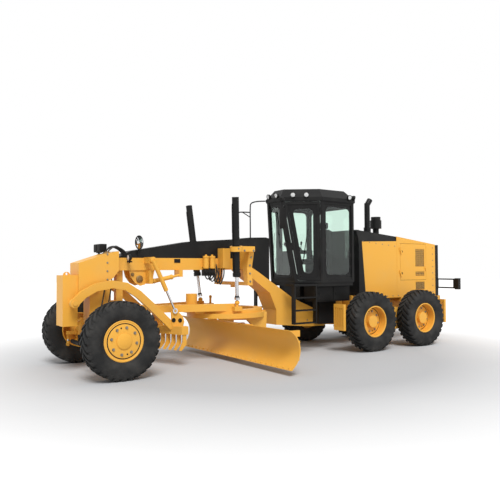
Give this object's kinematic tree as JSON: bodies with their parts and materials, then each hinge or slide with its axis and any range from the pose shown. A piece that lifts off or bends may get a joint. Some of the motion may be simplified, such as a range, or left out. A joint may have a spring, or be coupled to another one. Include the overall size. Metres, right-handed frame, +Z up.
{
  "type": "motor grader",
  "caption": "Articulated motor grader: six tyres, a long front beam with a blade on a turning circle, a scarifier, a glazed cab and a rear engine.",
  "frame": {"origin": "centre of the rear hitch's pin bore", "axes": "+X forward, +Y to the machine's left, +Z up"},
  "size_m": [9.1498, 3.658, 3.2996],
  "materials": {
    "yellow_paint": "semi-gloss enamel",
    "black_paint": "satin enamel",
    "dark_steel": "dull",
    "tyre": "matt rubber",
    "chrome": "polished rod",
    "tinted_glass": "clear tinted",
    "seat": "woven"
  },
  "bodies": {
    "rear_frame": {"rear_frame": "yellow_paint", "tandem_cases": "yellow_paint", "tandem_guards": "yellow_paint", "engine_block": "dark_steel", "engine_hood": "yellow_paint", "hood_cowl": "black_paint", "radiator_guard": "black_paint", "rear_lamps": "black_paint"},
    "engine_door_left": {"engine_door_left": "yellow_paint"},
    "engine_door_right": {"engine_door_right": "yellow_paint"},
    "front_frame": {"front_frame": "yellow_paint", "beam_cover": "black_paint", "push_block": "yellow_paint", "link_cylinder": "yellow_paint", "front_axle": "yellow_paint", "steering_barrels": "black_paint", "lift_saddle": "yellow_paint", "cab_base": "black_paint", "cab_ladders": "black_paint", "cab_shell": "black_paint", "cab_glass": "tinted_glass", "operator_station": "black_paint", "operator_seat": "seat", "lamps_and_mirrors": "black_paint"},
    "cab_door_left": {"cab_door_left": "black_paint", "door_glass_left": "tinted_glass"},
    "cab_door_right": {"cab_door_right": "black_paint", "door_glass_right": "tinted_glass"},
    "wheel_middle_left": {"tyre_middle_left": "tyre", "rim_middle_left": "yellow_paint"},
    "wheel_rear_left": {"tyre_rear_left": "tyre", "rim_rear_left": "yellow_paint"},
    "wheel_middle_right": {"tyre_middle_right": "tyre", "rim_middle_right": "yellow_paint"},
    "wheel_rear_right": {"tyre_rear_right": "tyre", "rim_rear_right": "yellow_paint"},
    "lean_left": {"lean_block_left": "yellow_paint"},
    "knuckle_left": {"knuckle_left": "yellow_paint"},
    "wheel_front_left": {"tyre_front_left": "tyre", "rim_front_left": "yellow_paint"},
    "lean_right": {"lean_block_right": "yellow_paint"},
    "knuckle_right": {"knuckle_right": "yellow_paint"},
    "wheel_front_right": {"tyre_front_right": "tyre", "rim_front_right": "yellow_paint"},
    "tie_rod_ball": {"tie_rod_ball": "yellow_paint"},
    "tie_rod": {"tie_rod": "yellow_paint"},
    "steering_rod_left": {"steering_rod_left": "chrome"},
    "steering_rod_right": {"steering_rod_right": "chrome"},
    "drawbar": {"drawbar": "yellow_paint"},
    "circle": {"circle": "yellow_paint"},
    "tilt_bracket": {"tilt_bracket": "yellow_paint"},
    "blade": {"moldboard": "yellow_paint", "cutting_edge": "yellow_paint"},
    "lift_barrel_left": {"lift_barrel_left": "black_paint"},
    "lift_rod_left": {"lift_rod_left": "chrome"},
    "lift_barrel_right": {"lift_barrel_right": "black_paint"},
    "lift_rod_right": {"lift_rod_right": "chrome"},
    "scarifier": {"scarifier": "yellow_paint"},
    "scarifier_barrel": {"scarifier_barrel": "yellow_paint"},
    "scarifier_rod": {"scarifier_rod": "chrome"}
  },
  "joints": [
    {"name": "articulation", "type": "hinge", "parent": "rear_frame", "child": "front_frame", "pos_m": [3.03, 0, -0.04], "axis": [0, 0, 1], "range_deg": [-20, 20]},
    {"name": "wheel_middle_left_spin", "type": "hinge", "parent": "rear_frame", "child": "wheel_middle_left", "pos_m": [3.0915, 1.066, -0.245], "axis": [0, 1, 0], "continuous": true},
    {"name": "wheel_rear_left_spin", "type": "hinge", "parent": "rear_frame", "child": "wheel_rear_left", "pos_m": [1.5685, 1.066, -0.245], "axis": [0, 1, 0], "continuous": true},
    {"name": "wheel_middle_right_spin", "type": "hinge", "parent": "rear_frame", "child": "wheel_middle_right", "pos_m": [3.0915, -1.066, -0.245], "axis": [0, 1, 0], "continuous": true},
    {"name": "wheel_rear_right_spin", "type": "hinge", "parent": "rear_frame", "child": "wheel_rear_right", "pos_m": [1.5685, -1.066, -0.245], "axis": [0, 1, 0], "continuous": true},
    {"name": "lean_left", "type": "hinge", "parent": "front_frame", "child": "lean_left", "pos_m": [8.453, 0.8, -0.45], "axis": [-1, 0, 0], "range_deg": [-18, 18]},
    {"name": "steer_left", "type": "hinge", "parent": "lean_left", "child": "knuckle_left", "pos_m": [8.453, 0.8, -0.21], "axis": [0, 0, 1], "range_deg": [-47.5, 47.5]},
    {"name": "wheel_front_left_spin", "type": "hinge", "parent": "knuckle_left", "child": "wheel_front_left", "pos_m": [8.453, 1.066, -0.245], "axis": [0, 1, 0], "continuous": true},
    {"name": "lean_right", "type": "hinge", "parent": "front_frame", "child": "lean_right", "pos_m": [8.453, -0.8, -0.45], "axis": [-1, 0, 0], "range_deg": [-18, 18]},
    {"name": "steer_right", "type": "hinge", "parent": "lean_right", "child": "knuckle_right", "pos_m": [8.453, -0.8, -0.21], "axis": [0, 0, 1], "range_deg": [-47.5, 47.5]},
    {"name": "wheel_front_right_spin", "type": "hinge", "parent": "knuckle_right", "child": "wheel_front_right", "pos_m": [8.453, -1.066, -0.245], "axis": [0, 1, 0], "continuous": true},
    {"name": "tie_rod_ball_turn", "type": "hinge", "parent": "knuckle_left", "child": "tie_rod_ball", "pos_m": [8.213, 0.8, -0.45], "axis": [0, 0, 1], "range_deg": [-47.5, 47.5]},
    {"name": "tie_rod_swing", "type": "hinge", "parent": "tie_rod_ball", "child": "tie_rod", "pos_m": [8.213, 0.8, -0.45], "axis": [-1, 0, 0], "range_deg": [-18, 18]},
    {"name": "steering_rod_left_slide", "type": "slide", "parent": "front_frame", "child": "steering_rod_left", "axis": [0, 1, 0], "range_m": [-0.178, 0.178]},
    {"name": "steering_rod_right_slide", "type": "slide", "parent": "front_frame", "child": "steering_rod_right", "axis": [0, 1, 0], "range_m": [-0.178, 0.178]},
    {"name": "blade_lift", "type": "hinge", "parent": "front_frame", "child": "drawbar", "pos_m": [8.03, 0, 0.2], "axis": [0, 1, 0], "range_deg": [-14, 7]},
    {"name": "circle_turn", "type": "hinge", "parent": "drawbar", "child": "circle", "pos_m": [5.9, 0, -0.015], "axis": [0, 0, 1], "range_deg": [-35, 35]},
    {"name": "blade_tilt", "type": "hinge", "parent": "circle", "child": "tilt_bracket", "pos_m": [5.89, 0, -0.52], "axis": [0, 1, 0], "range_deg": [-5, 40]},
    {"name": "blade_shift", "type": "slide", "parent": "tilt_bracket", "child": "blade", "axis": [0, 1, 0], "range_m": [-1.17, 0]},
    {"name": "lift_barrel_left_swing", "type": "hinge", "parent": "front_frame", "child": "lift_barrel_left", "pos_m": [6.17, 0.78, 1.2], "axis": [0, -0.9948, 0.102], "range_deg": [-1.52, 2.98]},
    {"name": "lift_rod_left_slide", "type": "slide", "parent": "lift_barrel_left", "child": "lift_rod_left", "axis": [-0.0814, -0.1017, -0.9915], "range_m": [-0.2347, 0.4683]},
    {"name": "lift_barrel_right_swing", "type": "hinge", "parent": "front_frame", "child": "lift_barrel_right", "pos_m": [6.17, -0.78, 1.2], "axis": [0, -0.9948, -0.102], "range_deg": [-1.52, 2.98]},
    {"name": "lift_rod_right_slide", "type": "slide", "parent": "lift_barrel_right", "child": "lift_rod_right", "axis": [-0.0814, 0.1017, -0.9915], "range_m": [-0.2347, 0.4683]},
    {"name": "scarifier_lift", "type": "hinge", "parent": "front_frame", "child": "scarifier", "pos_m": [8.945, 0, 0.305], "axis": [0, 1, 0], "range_deg": [-11, 0]},
    {"name": "scarifier_barrel_swing", "type": "hinge", "parent": "front_frame", "child": "scarifier_barrel", "pos_m": [7.63, 0.43, 1], "axis": [0, 1, 0], "range_deg": [-9.4, 0.05]},
    {"name": "scarifier_rod_slide", "type": "slide", "parent": "scarifier_barrel", "child": "scarifier_rod", "axis": [-0.4242, 0, -0.9056], "range_m": [-0.001, 0.2845]},
    {"name": "cab_door_left_hinge", "type": "hinge", "parent": "front_frame", "child": "cab_door_left", "pos_m": [4.14351, 0.73736, 1.35], "axis": [0, 0, 1], "range_deg": [0, 110]},
    {"name": "engine_door_left_hinge", "type": "hinge", "parent": "rear_frame", "child": "engine_door_left", "pos_m": [1.551, 0.517, 0.91], "axis": [0, 0, 1], "range_deg": [-110, 0]},
    {"name": "cab_door_right_hinge", "type": "hinge", "parent": "front_frame", "child": "cab_door_right", "pos_m": [4.14351, -0.73736, 1.35], "axis": [0, 0, 1], "range_deg": [-110, 0]},
    {"name": "engine_door_right_hinge", "type": "hinge", "parent": "rear_frame", "child": "engine_door_right", "pos_m": [1.551, -0.517, 0.91], "axis": [0, 0, 1], "range_deg": [0, 110]}
  ],
  "couplings": [
    {"joint": "lean_right", "follows": "lean_left", "ratio": 1},
    {"joint": "steer_right", "follows": "steer_left", "ratio": 1},
    {"joint": "tie_rod_ball_turn", "follows": "steer_left", "ratio": -1},
    {"joint": "tie_rod_swing", "follows": "lean_left", "ratio": -1},
    {"joint": "steering_rod_left_slide", "follows": "steer_left", "m_per_rad": 0.21344},
    {"joint": "steering_rod_right_slide", "follows": "steer_left", "m_per_rad": 0.21344},
    {"joint": "lift_barrel_left_swing", "follows": "blade_lift", "ratio": -0.20957},
    {"joint": "lift_rod_left_slide", "follows": "blade_lift", "m_per_rad": -1.9126},
    {"joint": "lift_barrel_right_swing", "follows": "blade_lift", "ratio": -0.20957},
    {"joint": "lift_rod_right_slide", "follows": "blade_lift", "m_per_rad": -1.9126},
    {"joint": "scarifier_barrel_swing", "follows": "scarifier_lift", "ratio": 0.8501},
    {"joint": "scarifier_rod_slide", "follows": "scarifier_lift", "m_per_rad": -1.4768}
  ]
}
